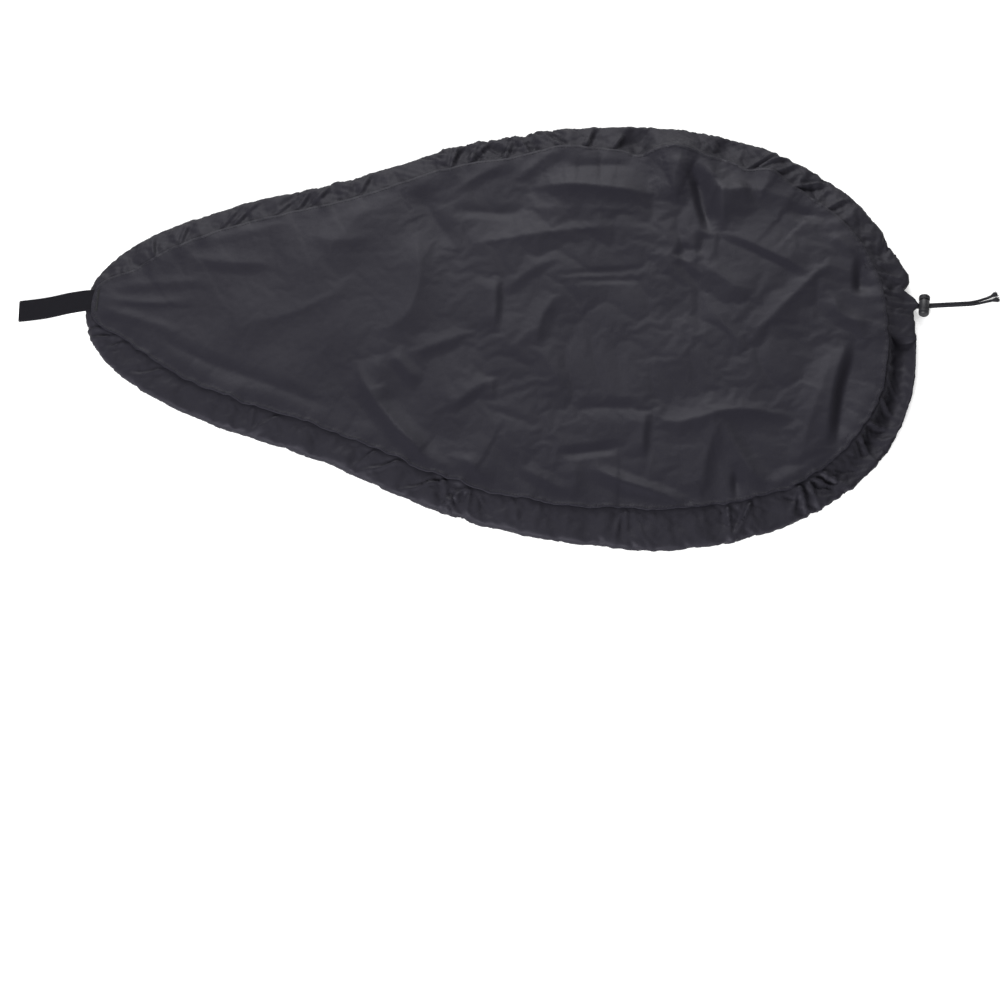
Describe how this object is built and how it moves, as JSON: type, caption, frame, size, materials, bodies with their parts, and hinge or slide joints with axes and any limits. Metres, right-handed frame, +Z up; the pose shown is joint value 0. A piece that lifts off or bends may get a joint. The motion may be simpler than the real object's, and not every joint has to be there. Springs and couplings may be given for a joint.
{
  "type": "kayak cockpit cover",
  "caption": "Teardrop fabric cockpit cover with a turned-under draw-cord hem, webbing pull strap at the bow and a spring cord lock on the cord tails at the stern.",
  "frame": {"origin": "middle of the whole footprint on the floor plane, with the strap and the cord tails laid out; the hem rests on z = 0", "axes": "-X to the bow, the narrow end with the pull strap; +X to the stern, the wide end with the cord lock; +Z up out of the top panel"},
  "size_m": [1.1955, 0.5992, 0.0348],
  "materials": {
    "coated_nylon": "dark charcoal proofed plain-weave nylon with a soft sheen",
    "binding_tape": "matt black woven tape",
    "polyester_thread": "black sewing thread",
    "elastic_cord": "black braided jacket over an elastic core",
    "lock_plastic": "moulded black plastic, fine texture",
    "spring_steel": "drawn spring wire",
    "webbing": "black woven webbing"
  },
  "bodies": {
    "cover": {"top_panel": "coated_nylon", "side_band": "coated_nylon", "seam_binding": "binding_tape", "top_seam_thread": "polyester_thread", "hem_thread": "polyester_thread", "draw_cord": "elastic_cord", "strap_tack": "polyester_thread"},
    "pull_strap": {"pull_strap": "webbing"},
    "cord_tails": {"cord_tail_port": "elastic_cord", "cord_tail_starboard": "elastic_cord"},
    "cord_lock": {"lock_barrel": "lock_plastic", "lock_spring": "spring_steel"},
    "lock_plunger": {"lock_plunger": "lock_plastic"}
  },
  "joints": [
    {"name": "strap_lift", "type": "hinge", "parent": "cover", "child": "pull_strap", "pos_m": [-0.50585, 0.0033, 0.0258], "axis": [-0.0872, 0.9962, 0], "range_deg": [0, 140]},
    {"name": "cord_lift", "type": "hinge", "parent": "cover", "child": "cord_tails", "pos_m": [0.49784, 0.0494, 0.007], "axis": [0.1045, -0.9945, 0], "range_deg": [0, 75]},
    {"name": "lock_slide", "type": "slide", "parent": "cord_tails", "child": "cord_lock", "axis": [0.9945, 0.1045, 0], "range_m": [0, 0.044]},
    {"name": "plunger_press", "type": "slide", "parent": "cord_lock", "child": "lock_plunger", "axis": [-0.0698, -0.9976, 0], "range_m": [0, 0.0022], "stiffness_N_per_m": 300, "springref_m": -0.002, "deforming": ["lock_spring"]}
  ]
}
